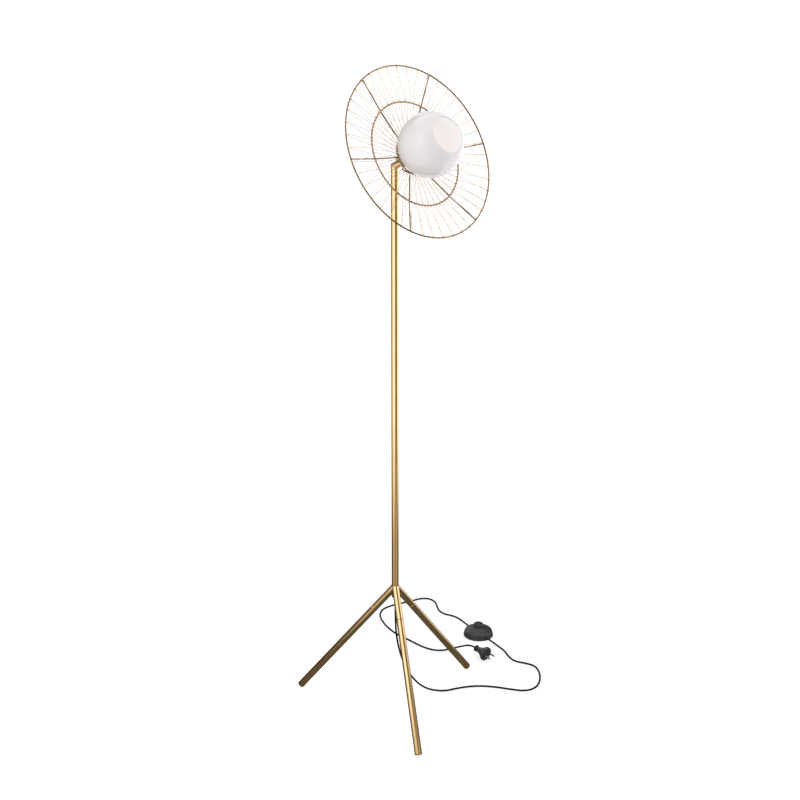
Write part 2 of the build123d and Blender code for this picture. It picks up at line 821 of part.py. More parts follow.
# Return spring: a coil from the block up to the disc on the button's stem
spring_bottom = block_bottom + block_height + seat
coil_height = spring_disc_at - seat - spring_bottom - spring_wire
with BuildPart() as switch_spring:
    with BuildLine(switch_plane.offset(spring_bottom + spring_wire / 2)):
        coil = Helix(pitch=coil_height / spring_turns, height=coil_height, radius=spring_r)
    with BuildSketch(Plane(origin=coil @ 0, x_dir=switch_dir, z_dir=coil % 0)):
        Rectangle(spring_wire, spring_wire)
    sweep(is_frenet=True)
save(switch_spring, "switch_spring")

with BuildPart() as switch_terminals:
    with BuildSketch(switch_plane.offset(block_bottom)):
        with GridLocations(block_length + clamp_size + 2 * seat, clamp_pitch, 2, 2):
            Rectangle(clamp_size, clamp_size)
    extrude(amount=clamp_size)
save(switch_terminals, "switch_terminals")

for name, side in (("in", -1), ("out", 1)):
    outward = switch_dir * side
    start = switch_level + outward * (relief_reach - relief_length)
    with BuildPart() as switch_relief:
        with BuildSketch(Plane(origin=start, z_dir=outward)):
            Circle(relief_r)
        with BuildSketch(Plane(origin=start + outward * relief_length, z_dir=outward)):
            Circle(nose_r)
        loft()
    save(switch_relief, f"switch_relief_{name}")

# ---------------------------------------------------------------- plug
plug_line = Axis(plug.origin, plug.z_dir)
plug_section = Plane(origin=plug.origin, x_dir=plug.x_dir, z_dir=plug.y_dir * -1)
spigot_top = plug_spigot_length - plug_body_length
with BuildPart() as plug_body:
    with BuildSketch(plug_section):
        with BuildLine():
            Polyline(
                (0, 0),
                (plug_r - 1, 0),
                (plug_r, -1),
                (plug_r, -plug_rim),
                (plug_r - 2, -plug_rim - 1.5),
            )
            Spline(
                (plug_r - 2, -plug_rim - 1.5),
                (0.62 * plug_r, -0.62 * plug_body_length),
                (plug_neck_r, -plug_body_length),
                tangents=((-0.5, -1), (-0.2, -1)),
            )
            Polyline(
                (plug_neck_r, -plug_body_length),
                (plug_spigot_r + slip, -plug_body_length),
                (plug_spigot_r + slip, spigot_top),
                (0, spigot_top),
                (0, 0),
            )
        make_face()
    revolve(axis=plug_line)
    # Recesses for the two earth contacts, at the top and the bottom of the rim
    with BuildSketch(plug):
        with GridLocations(0, 2 * plug_r, 1, 2):
            Rectangle(notch_width, 2 * notch_depth)
    extrude(amount=-plug_rim - 3, mode=Mode.SUBTRACT)
    # Hole for a round earth pin, above the plug's own pins
    with BuildSketch(plug):
        with Locations((0, earth_hole_offset)):
            Circle(pin_r + slip)
    extrude(amount=-earth_hole_depth, mode=Mode.SUBTRACT)
save(plug_body, "plug_body")

with BuildPart() as plug_pins:
    with BuildSketch(plug.offset(seat)):
        with GridLocations(pin_pitch, 0, 2, 1):
            Circle(pin_r)
    extrude(amount=pin_length)
    fillet(plug_pins.edges().group_by(plug_line)[-1], 1.6)
save(plug_pins, "plug_pins")

with BuildPart() as plug_earth_contacts:
    with BuildSketch(plug.offset(-1)):
        with GridLocations(0, 2 * (plug_r - notch_depth + 0.8 + seat), 1, 2):
            Rectangle(notch_width - 2, 1.2)
    extrude(amount=-plug_rim)
save(plug_earth_contacts, "plug_earth_contacts")

knob_top = plug_knob_length - plug_tail
with BuildPart() as plug_relief:
    with BuildSketch(plug_section):
        Polygon(
            (0, -plug_tail),
            (plug_knob_r - 1.5, -plug_tail),
            (plug_knob_r, 1.5 - plug_tail),
            (plug_knob_r, knob_top - 1),
            (plug_knob_r - 1, knob_top),
            (plug_waist_r, knob_top + 0.5),
            (plug_waist_r, -plug_body_length - seat),
            (plug_spigot_r, -plug_body_length - seat),
            (plug_spigot_r, spigot_top - seat),
            (0, spigot_top - seat),
            align=None,
        )
    revolve(axis=plug_line)
save(plug_relief, "plug_relief")
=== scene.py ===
"""Wire cage floor lamp: finishes, laced wire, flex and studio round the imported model."""

import json
import logging
import math
from dataclasses import dataclass, field
from enum import Enum
from typing import Iterable, Sequence

import bpy
from mathutils import Matrix, Vector


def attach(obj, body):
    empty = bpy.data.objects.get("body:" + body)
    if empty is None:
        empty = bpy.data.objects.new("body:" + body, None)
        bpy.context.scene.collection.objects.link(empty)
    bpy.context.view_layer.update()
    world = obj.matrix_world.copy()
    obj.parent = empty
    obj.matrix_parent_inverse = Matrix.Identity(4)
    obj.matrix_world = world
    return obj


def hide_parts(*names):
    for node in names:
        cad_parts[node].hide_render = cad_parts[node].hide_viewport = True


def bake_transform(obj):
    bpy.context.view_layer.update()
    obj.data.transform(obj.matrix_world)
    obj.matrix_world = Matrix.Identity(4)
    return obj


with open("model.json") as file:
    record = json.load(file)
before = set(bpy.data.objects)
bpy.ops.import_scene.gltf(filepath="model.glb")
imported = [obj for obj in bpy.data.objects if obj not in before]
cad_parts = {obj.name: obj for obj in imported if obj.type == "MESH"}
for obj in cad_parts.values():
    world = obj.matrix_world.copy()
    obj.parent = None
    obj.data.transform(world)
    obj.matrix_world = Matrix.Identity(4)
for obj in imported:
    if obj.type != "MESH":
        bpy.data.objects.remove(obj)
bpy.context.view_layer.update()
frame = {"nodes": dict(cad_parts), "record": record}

log = logging.getLogger("floor_lamp")
MM = 0.001
LAMP = "lamp"
FULL_TURN = 360.0
WIRE_SIDES = 8

Point = tuple[float, float, float]
Bands = tuple[tuple[float, float], ...]

EVEN: Point = (1.0, 1.0, 1.0)
WHITE: Point = (1.0, 1.0, 1.0)
# Nearly all of a noise's values lie between these
NOISE_LOW, NOISE_HIGH = 0.3, 0.7


class Side(Enum):
    """A side of a ring's rod, as an angle round the rod from its outer side."""

    FRONT = 90.0
    INSIDE = 180.0
    BACK = 270.0


# ---------------------------------------------------------------- head frame
@dataclass(frozen=True)
class HeadFrame:
    """Frame on the head: z along its axis from the corner of pole and arm, x to the side."""

    socket_from_corner: float = 81.6 * MM
    globe_from_corner: float = 130.5 * MM

    @property
    def matrix(self) -> Matrix:
        """Matrix from head coordinates to the lamp's frame."""
        socket = next(m for m in frame["record"]["mounts"] if m["name"] == "lamp_socket")
        along = Vector(socket["axis"]).normalized()
        side = Vector((1.0, 0.0, 0.0))
        up = along.cross(side)
        turn = Matrix((side, up, along)).transposed().to_4x4()
        corner = Vector(socket["pos_m"]) - along * self.socket_from_corner
        return Matrix.Translation(corner) @ turn

    @property
    def axis(self) -> Vector:
        """Direction of the head's axis, away from the arm."""
        return self.matrix.to_3x3() @ Vector((0.0, 0.0, 1.0))

    @property
    def globe_middle(self) -> Vector:
        """Middle of the globe, in the lamp's frame."""
        return self.matrix @ Vector((0.0, 0.0, self.globe_from_corner))


# ---------------------------------------------------------------- shaders
class ShaderTree:
    """A material's node tree, with short calls for adding and joining nodes."""

    def __init__(self, name: str) -> None:
        """Start a material with one Principled shader.

        Args:
            name: The material's name.
        """
        self.material = bpy.data.materials.new(name)
        self.material.use_nodes = True
        self.tree = self.material.node_tree
        self.principled = self.tree.nodes["Principled BSDF"]
        self.place = self.add("ShaderNodeTexCoord")

    def add(self, kind: str, **values: object) -> bpy.types.Node:
        """Add a node and set its properties.

        Args:
            kind: The node's type.
            **values: Properties of the node.

        Returns:
            The new node.
        """
        node = self.tree.nodes.new(kind)
        for name, value in values.items():
            setattr(node, name, value)
        return node

    def join(self, start: bpy.types.NodeSocket, end: bpy.types.NodeSocket) -> None:
        """Link an output to an input."""
        self.tree.links.new(start, end)

    def fix(self, **values: object) -> None:
        """Set sockets of the Principled shader, with underscores for the spaces in their names."""
        for name, value in values.items():
            self.principled.inputs[name.replace("_", " ")].default_value = value

    def drive(self, name: str, value: bpy.types.NodeSocket) -> None:
        """Drive a socket of the Principled shader."""
        self.join(value, self.principled.inputs[name])

    def stretched(self, scale: Point) -> bpy.types.NodeSocket:
        """Object coordinates, scaled along each axis.

        Args:
            scale: Scale along X, Y and Z.

        Returns:
            The socket with the coordinates.
        """
        mapping = self.add("ShaderNodeMapping")
        mapping.inputs["Scale"].default_value = scale
        self.join(self.place.outputs["Object"], mapping.inputs["Vector"])
        return mapping.outputs["Vector"]

    def noise(
        self, where: bpy.types.NodeSocket, scale: float, detail: float = 3.0
    ) -> bpy.types.NodeSocket:
        """Noise over a set of coordinates.

        Args:
            where: The coordinates.
            scale: Cells per metre.
            detail: Octaves.

        Returns:
            The socket with the noise's value.
        """
        node = self.add("ShaderNodeTexNoise")
        node.inputs["Scale"].default_value = scale
        node.inputs["Detail"].default_value = detail
        self.join(where, node.inputs["Vector"])
        return node.outputs["Fac"]

    def ranged(self, value: bpy.types.NodeSocket, low: float, high: float) -> bpy.types.NodeSocket:
        """A noise value spread between two numbers.

        Args:
            value: A noise value.
            low: Result at the noise's low end.
            high: Result at its high end.

        Returns:
            The socket with the result.
        """
        node = self.add("ShaderNodeMapRange")
        node.inputs["From Min"].default_value = NOISE_LOW
        node.inputs["From Max"].default_value = NOISE_HIGH
        node.inputs["To Min"].default_value = low
        node.inputs["To Max"].default_value = high
        self.join(value, node.inputs["Value"])
        return node.outputs["Result"]

    def tinted(self, value: bpy.types.NodeSocket, low: Point, high: Point) -> bpy.types.NodeSocket:
        """Drive the base colour between two colours.

        Args:
            value: A noise value.
            low: Colour at the noise's low end.
            high: Colour at its high end.

        Returns:
            The socket with the colour.
        """
        ramp = self.add("ShaderNodeValToRGB")
        ends = (NOISE_LOW, low), (NOISE_HIGH, high)
        for stop, (position, color) in zip(ramp.color_ramp.elements, ends):
            stop.position, stop.color = position, (*color, 1.0)
        self.join(value, ramp.inputs["Fac"])
        self.drive("Base Color", ramp.outputs["Color"])
        return ramp.outputs["Color"]

    def bumped(self, height: bpy.types.NodeSocket, depth: float, strength: float = 1.0) -> None:
        """Add a bump.

        Args:
            height: Socket with the height.
            depth: Depth in metres at a height of 1.
            strength: Share of the bump's effect.
        """
        bump = self.add("ShaderNodeBump")
        bump.inputs["Distance"].default_value = depth
        bump.inputs["Strength"].default_value = strength
        self.join(height, bump.inputs["Height"])
        self.drive("Normal", bump.outputs["Normal"])


@dataclass(frozen=True)
class PolishedBrass:
    """Lacquered brass with faint drawing lines and slight clouding."""

    name: str
    low: Point
    high: Point
    roughness: tuple[float, float] = (0.16, 0.18)
    metal: float = 1.0
    along: Point = (1.0, 1.0, 0.04)
    clouds: float = 14.0
    grain: float = 900.0
    grain_depth: float = 0.00001
    grain_strength: float = 0.1

    def build(self) -> bpy.types.Material:
        """Make the material."""
        shader = ShaderTree(self.name)
        shader.fix(Metallic=self.metal, Coat_Weight=0.12, Coat_Roughness=0.12)
        cloud = shader.noise(shader.stretched(EVEN), self.clouds)
        shader.tinted(cloud, self.low, self.high)
        lines = shader.noise(shader.stretched(self.along), self.grain, detail=2.0)
        shader.drive("Roughness", shader.ranged(lines, *self.roughness))
        shader.bumped(lines, self.grain_depth, self.grain_strength)
        return shader.material


@dataclass(frozen=True)
class OpalGlass:
    """White cased glass: glossy outside, with light scattered under the surface."""

    name: str = "opal_glass"
    color: Point = (0.95, 0.89, 0.90)
    paler: float = 1.03
    clouds: float = 9.0
    ripples: float = 30.0
    ripple_depth: float = 0.0001
    ripple_strength: float = 0.2
    globe_r: float = 72.5 * MM
    wall_middle: float = 71.1 * MM
    # Painted light on the globe's inner face, for light thrown between its walls: its strength and
    # colour
    glow: float = 0.15
    painted_light_color: Point = (1.0, 0.96, 0.96)
    mouth_r: float = 41.5 * MM
    rim_color: Point = (0.62, 0.54, 0.53)
    rim_width: float = 0.016  # as an angle at the globe's middle, in radians

    def build(self) -> bpy.types.Material:
        """Make the material."""
        shader = ShaderTree(self.name)
        shader.fix(
            Roughness=0.12,
            Subsurface_Weight=0.9,
            Subsurface_Radius=(0.030, 0.027, 0.026),
            Subsurface_Scale=1.0,
            IOR=1.5,
            Coat_Weight=0.15,
            Coat_Roughness=0.1,
        )
        even = shader.stretched(EVEN)
        pale = tuple(min(1.0, c * self.paler) for c in self.color)
        body = shader.tinted(shader.noise(even, self.clouds), self.color, pale)
        # The mouth's edge and a thin band beside it are given a darker colour
        rimmed = shader.add("ShaderNodeMix", data_type="RGBA")
        shader.join(self.rim(shader), rimmed.inputs["Factor"])
        shader.join(body, rimmed.inputs["A"])
        rimmed.inputs["B"].default_value = (*self.rim_color, 1.0)
        shader.drive("Base Color", rimmed.outputs["Result"])
        # Painted light: the inner face glows with light thrown between the globe's walls
        shader.fix(Emission_Color=(*self.painted_light_color, 1.0))
        shader.drive("Emission Strength", self.paint_inner_light(shader))
        shader.bumped(shader.noise(even, self.ripples), self.ripple_depth, self.ripple_strength)
        return shader.material

    def rim(self, shader: ShaderTree) -> bpy.types.NodeSocket:
        """Find the mouth's edge and a thin band of the wall beside it, which are coloured darker than
        the rest of the globe.

        Args:
            shader: The material's tree.

        Returns:
            1 on the rim, 0 elsewhere.
        """
        head = HeadFrame()
        mouth_angle = math.asin(self.mouth_r / self.globe_r)
        spread = shader.add("ShaderNodeVectorMath", operation="SUBTRACT")
        shader.join(shader.place.outputs["Object"], spread.inputs[0])
        spread.inputs[1].default_value = head.globe_middle
        aimed = shader.add("ShaderNodeVectorMath", operation="NORMALIZE")
        shader.join(spread.outputs["Vector"], aimed.inputs[0])
        along = shader.add("ShaderNodeVectorMath", operation="DOT_PRODUCT")
        shader.join(aimed.outputs["Vector"], along.inputs[0])
        along.inputs[1].default_value = head.axis
        share = shader.add("ShaderNodeMapRange")
        share.inputs["From Min"].default_value = math.cos(mouth_angle + self.rim_width)
        share.inputs["From Max"].default_value = math.cos(mouth_angle + self.rim_width / 2)
        shader.join(along.outputs["Value"], share.inputs["Value"])
        return share.outputs["Result"]

    def paint_inner_light(self, shader: ShaderTree) -> bpy.types.NodeSocket:
        """Painted light: light thrown from wall to wall inside the globe, painted as a glow of its inner
        face.

        Args:
            shader: The material's tree.

        Returns:
            The painted light's strength: full inside the middle of the wall, none outside it.
        """
        reach = shader.add("ShaderNodeVectorMath", operation="DISTANCE")
        shader.join(shader.place.outputs["Object"], reach.inputs[0])
        reach.inputs[1].default_value = HeadFrame().globe_middle
        inside = shader.add("ShaderNodeMath", operation="LESS_THAN")
        inside.inputs[1].default_value = self.wall_middle
        shader.join(reach.outputs["Value"], inside.inputs[0])
        strength = shader.add("ShaderNodeMath", operation="MULTIPLY")
        strength.inputs[1].default_value = self.glow
        shader.join(inside.outputs[0], strength.inputs[0])
        return strength.outputs[0]


@dataclass(frozen=True)
class MouldedPlastic:
    """Moulded plastic or rubber with a fine spark-eroded texture."""

    name: str
    low: Point
    high: Point
    roughness: tuple[float, float] = (0.38, 0.5)
    texture: float = 2600.0
    depth: float = 0.00003
    strength: float = 0.6
    shine: float = 0.5
    clouds: float = 60.0

    def build(self) -> bpy.types.Material:
        """Make the material."""
        shader = ShaderTree(self.name)
        shader.fix(Specular_IOR_Level=self.shine)
        even = shader.stretched(EVEN)
        shader.tinted(shader.noise(even, self.clouds), self.low, self.high)
        fine = shader.noise(even, self.texture, detail=2.0)
        shader.drive("Roughness", shader.ranged(fine, *self.roughness))
        shader.bumped(fine, self.depth, self.strength)
        return shader.material


@dataclass(frozen=True)
class PlatedMetal:
    """Plated or plain metal of the small inner parts and the plug's pins."""

    name: str
    low: Point
    high: Point
    roughness: tuple[float, float] = (0.2, 0.32)
    clouds: float = 80.0
    texture: float = 1500.0

    def build(self) -> bpy.types.Material:
        """Make the material."""
        shader = ShaderTree(self.name)
        shader.fix(Metallic=1.0)
        even = shader.stretched(EVEN)
        shader.tinted(shader.noise(even, self.clouds), self.low, self.high)
        fine = shader.noise(even, self.texture, detail=2.0)
        shader.drive("Roughness", shader.ranged(fine, *self.roughness))
        return shader.material


@dataclass
class Finishes:
    """Every finish of the lamp, made once."""

    made: dict[str, bpy.types.Material] = field(default_factory=dict)

    def __post_init__(self) -> None:
        """Build the materials."""
        for finish in (
            PolishedBrass("polished_brass", (0.72, 0.50, 0.24), (0.80, 0.58, 0.30)),
            # The rods' brass is the tubes' brass in a far darker colour: painted shade standing in for
            # the dark reflections on the thin rods
            PolishedBrass("brass_rod", (0.15, 0.095, 0.038), (0.23, 0.15, 0.062), (0.14, 0.18)),
            PolishedBrass("brass_wire", (0.62, 0.42, 0.24), (0.76, 0.53, 0.33), (0.35, 0.45), 0.5),
            OpalGlass(),
            MouldedPlastic("black_plastic", (0.032, 0.032, 0.035), (0.044, 0.044, 0.047)),
            MouldedPlastic("black_rubber", (0.018, 0.018, 0.020), (0.026, 0.026, 0.028), (0.55, 0.7)),
            MouldedPlastic(
                "black_flex", (0.007, 0.007, 0.008), (0.012, 0.012, 0.013), (0.4, 0.5), 1400.0, shine=0.1
            ),
            MouldedPlastic("white_plastic", (0.76, 0.76, 0.74), (0.82, 0.82, 0.80), (0.3, 0.42)),
            MouldedPlastic("ceramic_core", (0.74, 0.72, 0.67), (0.80, 0.78, 0.73), (0.12, 0.2), 300.0),
            PlatedMetal("steel", (0.50, 0.50, 0.51), (0.60, 0.60, 0.61)),
            PlatedMetal("contact_brass", (0.60, 0.43, 0.20), (0.70, 0.52, 0.26)),
            # The pins' nickel is given a dark grey, far below bright nickel: painted shade standing in
            # for the dark reflections on the pins
            PlatedMetal("nickel", (0.30, 0.29, 0.28), (0.38, 0.37, 0.35), (0.2, 0.28)),
        ):
            self.made[finish.name] = finish.build()

    def dress(self, obj: bpy.types.Object, name: str) -> None:
        """Give an object one finish.

        Args:
            obj: The object to dress.
            name: The finish's name, which is also a slot of the record.
        """
        obj.data.materials.clear()
        obj.data.materials.append(self.made[name])

    def dress_nodes(self) -> None:
        """Give each CAD node the finish that its slot in the record names."""
        for part in frame["record"]["subparts"]:
            self.dress(frame["nodes"][part["node"]], part["material_slot"])


# ---------------------------------------------------------------- geometry nodes
class ShapeTree:
    """A geometry node tree with named inputs, run on a mesh of guide lines or points."""

    def __init__(self, name: str) -> None:
        """Start a tree with a geometry input and output.

        Args:
            name: The tree's name.
        """
        self.tree = bpy.data.node_groups.new(name, "GeometryNodeTree")
        self.keys: dict[str, str] = {}
        self._socket("Geometry", "INPUT", "NodeSocketGeometry")
        self._socket("Geometry", "OUTPUT", "NodeSocketGeometry")
        self.start = self.add("NodeGroupInput")
        self.end = self.add("NodeGroupOutput")

    def _socket(self, name: str, side: str, kind: str) -> bpy.types.NodeTreeInterfaceSocket:
        """Add a socket to the tree's own inputs or outputs."""
        return self.tree.interface.new_socket(name=name, in_out=side, socket_type=kind)

    def input(self, name: str, kind: str, value: object) -> bpy.types.NodeSocket:
        """Add a named input.

        Args:
            name: The input's name.
            kind: Its socket type, without the NodeSocket prefix.
            value: Its value.

        Returns:
            The socket that carries it inside the tree.
        """
        socket = self._socket(name, "INPUT", "NodeSocket" + kind)
        if kind != "Material":
            socket.default_value = value
        self.keys[name] = socket.identifier
        return self.start.outputs[name]

    def add(
        self, kind: str, links: dict[str, object] | None = None, **values: object
    ) -> bpy.types.Node:
        """Add a node, set its properties and fill its inputs.

        Args:
            kind: The node's type.
            links: Input name to a socket or a plain value.
            **values: Properties of the node.

        Returns:
            The new node.
        """
        node = self.tree.nodes.new(kind)
        for name, value in values.items():
            setattr(node, name, value)
        for name, value in (links or {}).items():
            if isinstance(value, bpy.types.NodeSocket):
                self.tree.links.new(value, node.inputs[name])
            else:
                node.inputs[name].default_value = value
        return node

    def tube(
        self,
        curve: bpy.types.NodeSocket,
        radius: bpy.types.NodeSocket,
        sides: bpy.types.NodeSocket | int = WIRE_SIDES,
    ) -> bpy.types.NodeSocket:
        """Sweep a round wire along a curve.

        Args:
            curve: The curve.
            radius: The wire's radius.
            sides: How many sides the wire has.

        Returns:
            The socket with the wire's mesh.
        """
        ring = self.add("GeometryNodeCurvePrimitiveCircle", {"Radius": radius, "Resolution": sides})
        links = {"Curve": curve, "Profile Curve": ring.outputs[0], "Fill Caps": True}
        return self.add("GeometryNodeCurveToMesh", links).outputs[0]

    def turned_copies(
        self, count: bpy.types.NodeSocket, shape: bpy.types.NodeSocket, angles: bpy.types.NodeSocket
    ) -> bpy.types.NodeSocket:
        """Copy a shape about the origin.

        Args:
            count: How many copies.
            shape: The shape.
            angles: The turn of each copy about X, Y and Z.

        Returns:
            The socket with the copies.
        """
        points = self.add("GeometryNodePoints", {"Count": count})
        rotation = self.add("FunctionNodeEulerToRotation", {"Euler": angles})
        links = {"Points": points.outputs[0], "Instance": shape, "Rotation": rotation.outputs[0]}
        return self.add("GeometryNodeInstanceOnPoints", links).outputs[0]

    def finish(self, shape: bpy.types.NodeSocket, material: bpy.types.NodeSocket) -> None:
        """Close the tree: realise the shape, smooth it and give it its material."""
        real = self.add("GeometryNodeRealizeInstances", {"Geometry": shape})
        smooth = self.add("GeometryNodeSetShadeSmooth", {"Geometry": real.outputs[0]})
        links = {"Geometry": smooth.outputs[0], "Material": material}
        dressed = self.add("GeometryNodeSetMaterial", links)
        self.tree.links.new(dressed.outputs[0], self.end.inputs[0])

    def run(self, name: str, guide: bpy.types.Mesh, values: dict[str, object]) -> bpy.types.Object:
        """Run the tree on a guide mesh and keep the result as a plain mesh.

        Args:
            name: The new object's name.
            guide: Mesh with the guide lines or points.
            values: Named inputs of the tree.

        Returns:
            The finished object.
        """
        maker = bpy.data.objects.new(name + "_guide", guide)
        bpy.context.scene.collection.objects.link(maker)
        modifier = maker.modifiers.new("shape", "NODES")
        modifier.node_group = self.tree
        for key, value in values.items():
            modifier[self.keys[key]] = value
        graph = bpy.context.evaluated_depsgraph_get()
        mesh = bpy.data.meshes.new_from_object(maker.evaluated_get(graph))
        maker.modifiers.remove(modifier)
        bpy.data.objects.remove(maker)
        mesh.name = name
        made = bpy.data.objects.new(name, mesh)
        bpy.context.scene.collection.objects.link(made)
        return made


def polyline(name: str, points: Sequence[Vector]) -> bpy.types.Mesh:
    """A mesh with one open chain of edges.

    Args:
        name: The mesh's name.
        points: Corners of the chain.

    Returns:
        The mesh.
    """
    mesh = bpy.data.meshes.new(name)
    mesh.from_pydata(list(points), [(k, k + 1) for k in range(len(points) - 1)], [])
    return mesh


# ---------------------------------------------------------------- laced wire
@dataclass
class Reflector:
    """The laced wire on the three rings, with its turns round each ring."""

    outer_r: float = 200.0 * MM
    outer_at: float = 92.6 * MM
    outer_rod: float = 1.7 * MM
    middle_r: float = 121.0 * MM
    middle_at: float = 78.0 * MM
    hub_r: float = 45.0 * MM
    hub_at: float = 67.3 * MM
    inner_rod: float = 1.5 * MM
    wire: float = 0.55 * MM
    spokes: int = 6
    loops_per_sector: int = 7
    turn_pitch: float = 1.3 * MM
    middle_turns: float = 3.0
    outer_turns: float = 1.5
    hub_turns: float = 1.0
    steps_per_turn: int = 12
    seed: int = 7
    # Angles round the head's axis, in degrees
    first_angle: float = 1.1
    stray: float = 0.35
    outer_lead: float = 0.3

    @property
    def pitch(self) -> float:
        """Angle from one loop to the next, in degrees."""
        return FULL_TURN / (self.spokes * self.loops_per_sector)

    def wrap(
        self, angle: float, ring: tuple[float, float, float], start: Side, sweep: float
    ) -> list[Vector]:
        """Points of the wire as it turns round a ring.

        Args:
            angle: Where it starts on the ring, in degrees.
            ring: The ring's radius, its distance along the axis, and its rod's radius.
            start: Side of the rod where it starts.
            sweep: How far it turns round the rod, in degrees, with its sign.

        Returns:
            The points, in head coordinates.
        """
        ring_r, ring_at, rod = ring
        over = rod + self.wire
        count = max(2, round(abs(sweep) / FULL_TURN * self.steps_per_turn))
        advance = math.degrees(self.turn_pitch / ring_r) * abs(sweep) / FULL_TURN
        points = []
        for k in range(count + 1):
            side = math.radians(start.value + sweep * k / count)
            turn = math.radians(angle - advance * k / count)
            radius = ring_r + over * math.cos(side)
            along = ring_at + over * math.sin(side)
            points.append(Vector((radius * math.cos(turn), radius * math.sin(turn), along)))
        return points

    def loop(self) -> list[Vector]:
        """Points of one loop of wire, about angle 0."""
        hub = (self.hub_r, self.hub_at, self.inner_rod)
        middle = (self.middle_r, self.middle_at, self.inner_rod)
        outer = (self.outer_r, self.outer_at, self.outer_rod)
        quarter = FULL_TURN / 4
        back_turns = self.hub_turns + quarter / FULL_TURN
        hub_shift = math.degrees(self.turn_pitch * back_turns / self.hub_r)
        points = self.wrap(-self.pitch / 2, hub, Side.INSIDE, -quarter)
        points += self.wrap(-self.pitch / 4, middle, Side.FRONT, -FULL_TURN * self.middle_turns)
        points += self.wrap(self.outer_lead, outer, Side.FRONT, -FULL_TURN * self.outer_turns)
        points += self.wrap(self.pitch / 4, middle, Side.BACK, FULL_TURN * self.middle_turns)
        points += self.wrap(self.pitch / 2 + hub_shift, hub, Side.BACK, -FULL_TURN * back_turns)
        return points

    def build(self, head: HeadFrame, finishes: Finishes) -> bpy.types.Object:
        """Lace the wire round the rings.

        Args:
            head: The head's frame.
            finishes: The lamp's finishes.

        Returns:
            The laced wire, which replaces the plain one.
        """
        shape = ShapeTree("laced_loops")
        count = shape.input("Loops", "Int", 1)
        pitch = shape.input("Pitch", "Float", 0.1)
        first = shape.input("First angle", "Float", 0.0)
        stray = shape.input("Hand-laced stray", "Float", 0.0)
        thick = shape.input("Wire radius", "Float", MM)
        sides = shape.input("Wire sides", "Int", WIRE_SIDES)
        place = shape.input("Head position", "Vector", (0.0, 0.0, 0.0))
        turn = shape.input("Head turn", "Rotation", (0.0, 0.0, 0.0))
        seed = shape.input("Seed", "Int", self.seed)
        material = shape.input("Wire finish", "Material", None)

        line = shape.add("GeometryNodeMeshToCurve", {"Mesh": shape.start.outputs["Geometry"]})
        index = shape.add("GeometryNodeInputIndex")
        less = shape.add("ShaderNodeMath", {0: stray, 1: -1.0}, operation="MULTIPLY")
        random = shape.add("FunctionNodeRandomValue", {"Seed": seed}, data_type="FLOAT")
        shape.tree.links.new(less.outputs[0], random.inputs[2])
        shape.tree.links.new(stray, random.inputs[3])
        step_by = {0: index.outputs[0], 1: pitch, 2: first}
        step = shape.add("ShaderNodeMath", step_by, operation="MULTIPLY_ADD")
        angle = shape.add("ShaderNodeMath", {0: step.outputs[0], 1: random.outputs[1]}, operation="ADD")
        axis = shape.add("ShaderNodeCombineXYZ", {"Z": angle.outputs[0]})
        copies = shape.turned_copies(count, line.outputs[0], axis.outputs[0])
        real = shape.add("GeometryNodeRealizeInstances", {"Geometry": copies})
        wire = shape.tube(real.outputs[0], thick, sides)
        links = {"Geometry": wire, "Translation": place, "Rotation": turn}
        shape.finish(shape.add("GeometryNodeTransform", links).outputs[0], material)

        matrix = head.matrix
        made = shape.run(
            "laced_wire",
            polyline("loop", self.loop()),
            {
                "Loops": self.spokes * self.loops_per_sector,
                "Pitch": math.radians(self.pitch),
                "First angle": math.radians(self.first_angle),
                "Hand-laced stray": math.radians(self.stray),
                "Wire radius": self.wire,
                "Wire sides": WIRE_SIDES,
                "Head position": matrix.translation,
                "Head turn": matrix.to_euler(),
                "Seed": self.seed,
                "Wire finish": finishes.made["brass_wire"],
            },
        )
        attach(made, LAMP)
        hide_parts("lacing_wire")
        return made


